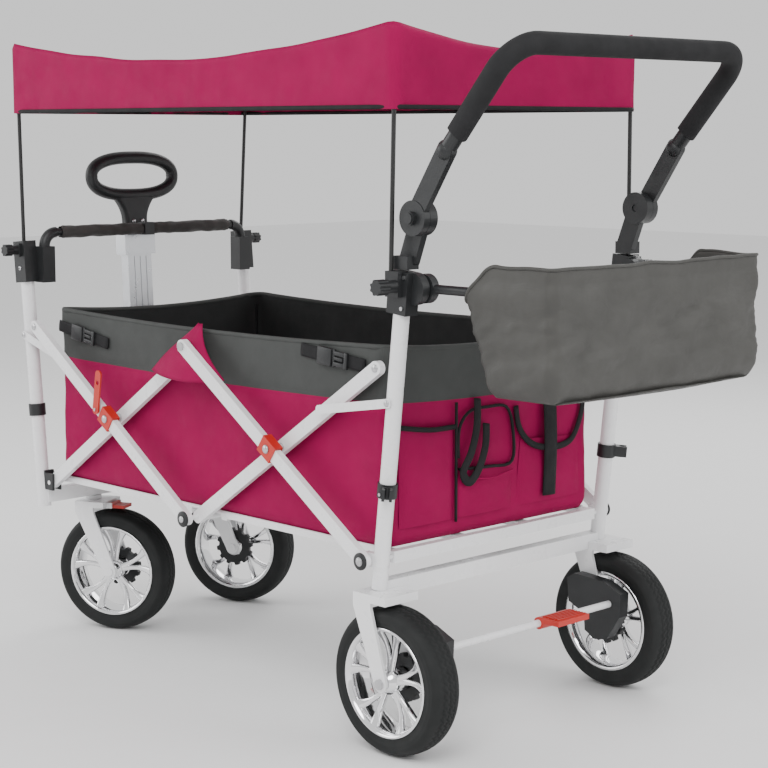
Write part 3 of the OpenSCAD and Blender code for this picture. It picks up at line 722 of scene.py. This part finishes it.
for side, word in SIDES:
    # Black caps at the lower ends of the outer bars, with a rivet in each
    for tag, x, body in (("rear", REAR_PIVOT, "rear_outer"), ("middle", MIDDLE_X, "front_outer")):
        disc(f"end_cap_{tag}_{word}", x, LOW_Z, 288, side, 13.5, 4, BLACK, body, "black_plastic")
        disc(f"end_rivet_{tag}_{word}", x, LOW_Z, 292, side, 5.5, 2, STEEL, body, "steel_fasteners")
    # Rivets: upper ends of the bars, the two crossings, and the links' post ends
    for tag, x, z, y, radius, depth, body in (
            ("top_rivet_rear", REAR_PIVOT, HIGH_Z, 258, 6, 2.4, "rear_inner"),
            ("top_rivet_front", FRONT_PIVOT, HIGH_Z, 287.5, 6, 2.4, "front_outer"),
            ("cross_rivet_rear", REAR_CROSS_X, CROSS_Z, 290, 6.5, 3, "rear_outer"),
            ("cross_rivet_front", FRONT_CROSS_X, CROSS_Z, 290, 6.5, 3, "front_outer"),
            ("link_rivet_rear", rear_post_x(540), 540, 275.5, 5, 2.2, "rear_link_pair"),
            ("link_rivet_front", front_post_x(567), 567, 275.5, 5, 2.2, "front_link_pair")):
        disc(f"{tag}_{word}", x, z, y, side, radius, depth, STEEL, body, "steel_fasteners")

# ---------------------------------------------------------------- pull grip
PULL_LEAN = math.radians(3)
PULL_HINGE = (-479, 268)


def at_pull(x, y, z):
    c, s = math.cos(PULL_LEAN), math.sin(PULL_LEAN)
    return PULL_HINGE[0] + x * c - z * s, y, PULL_HINGE[1] + x * s + z * c


def grip_mesh():
    """Oval loop with a rounded section, and a neck that widens into it."""
    def loop(u, v):
        a, b = 2 * math.pi * u, 2 * math.pi * v
        cy = 96 * math.copysign(abs(math.cos(a)) ** .8, math.cos(a))
        cz = 36 * math.copysign(abs(math.sin(a)) ** .85, math.sin(a))
        length = math.hypot(cy / 96 ** 2, cz / 36 ** 2) or 1
        ny, nz = cy / 96 ** 2 / length, cz / 36 ** 2 / length
        out = 12 * math.cos(b)
        return at_pull(11.5 * math.sin(b), cy + ny * out, 587 + cz + nz * out)

    def neck(u, v):
        half = 26 + 30 * max(0, (v - .3) / .7) ** 2
        a = 2 * math.pi * u
        y = half * math.copysign(abs(math.cos(a)) ** .5, math.cos(a))
        x = (12 - 2 * v) * math.copysign(abs(math.sin(a)) ** .5, math.sin(a))
        return at_pull(x, y, 478 + 76 * v)
    return joined(grid(96, 24, loop, wrap=True), grid(48, 16, neck, wrap=True))


grip = piece("pull_grip_loop", *grip_mesh(), BLACK, "pull_slide", "black_plastic")
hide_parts("pull_grip")
for k, y in enumerate((-10, 10)):
    head = lathe([(4, 0), (4, 1), (2.5, 1.8), (.01, 2)],
                 lambda a, b, c, y=y: at_pull(12 + b, y + a, 500 + c), 20)
    piece(f"grip_screw_{k}", *head, STEEL, "pull_slide", "steel_fasteners")


# ---------------------------------------------------------------- studio
def area_light(name, location, target, size, power):
    """Soft round light aimed at a target."""
    data = bpy.data.lights.new(name, "AREA")
    data.shape = "DISK"
    data.size = size
    data.energy = power
    obj = bpy.data.objects.new(name, data)
    obj.location = location
    obj.rotation_euler = (Vector(target) - Vector(location)).to_track_quat("-Z", "Y").to_euler()
    bpy.context.scene.collection.objects.link(obj)


MIDDLE = (0, 0, .45)
area_light("key", (1.8, -2.6, 3.2), MIDDLE, 2.6, 105)
area_light("fill", (-2.8, -2.2, 1.8), MIDDLE, 2.6, 50)
area_light("side", (3.2, 1.2, 1.8), MIDDLE, 2.2, 40)
area_light("back", (-1.2, 3.0, 2.6), MIDDLE, 2.2, 40)

world = bpy.data.worlds.new("studio")
bpy.context.scene.world = world
world.use_nodes = True
world.node_tree.nodes["Background"].inputs["Color"].default_value = (1, 1, 1, 1)
world.node_tree.nodes["Background"].inputs["Strength"].default_value = .95

FLOOR_HALF = 12
floor_data = bpy.data.meshes.new("floor")
floor_data.from_pydata([(-FLOOR_HALF, -FLOOR_HALF, 0), (FLOOR_HALF, -FLOOR_HALF, 0),
                        (FLOOR_HALF, FLOOR_HALF, 0), (-FLOOR_HALF, FLOOR_HALF, 0)], [], [(0, 1, 2, 3)])
floor_data.materials.append(material("pale_floor", (.86, .86, .86), .8, mottle=.005))
floor = bpy.data.objects.new("floor", floor_data)
bpy.context.scene.collection.objects.link(floor)

camera_data = bpy.data.cameras.new("camera")
camera_data.lens = 87.67
camera_data.sensor_width = 36
camera = bpy.data.objects.new("camera", camera_data)
camera.location = (2.3175, -2.1895, .9421)
camera.rotation_euler = (math.radians(90 - 7.72), 0, math.radians(45.95))
bpy.context.scene.collection.objects.link(camera)
bpy.context.scene.camera = camera
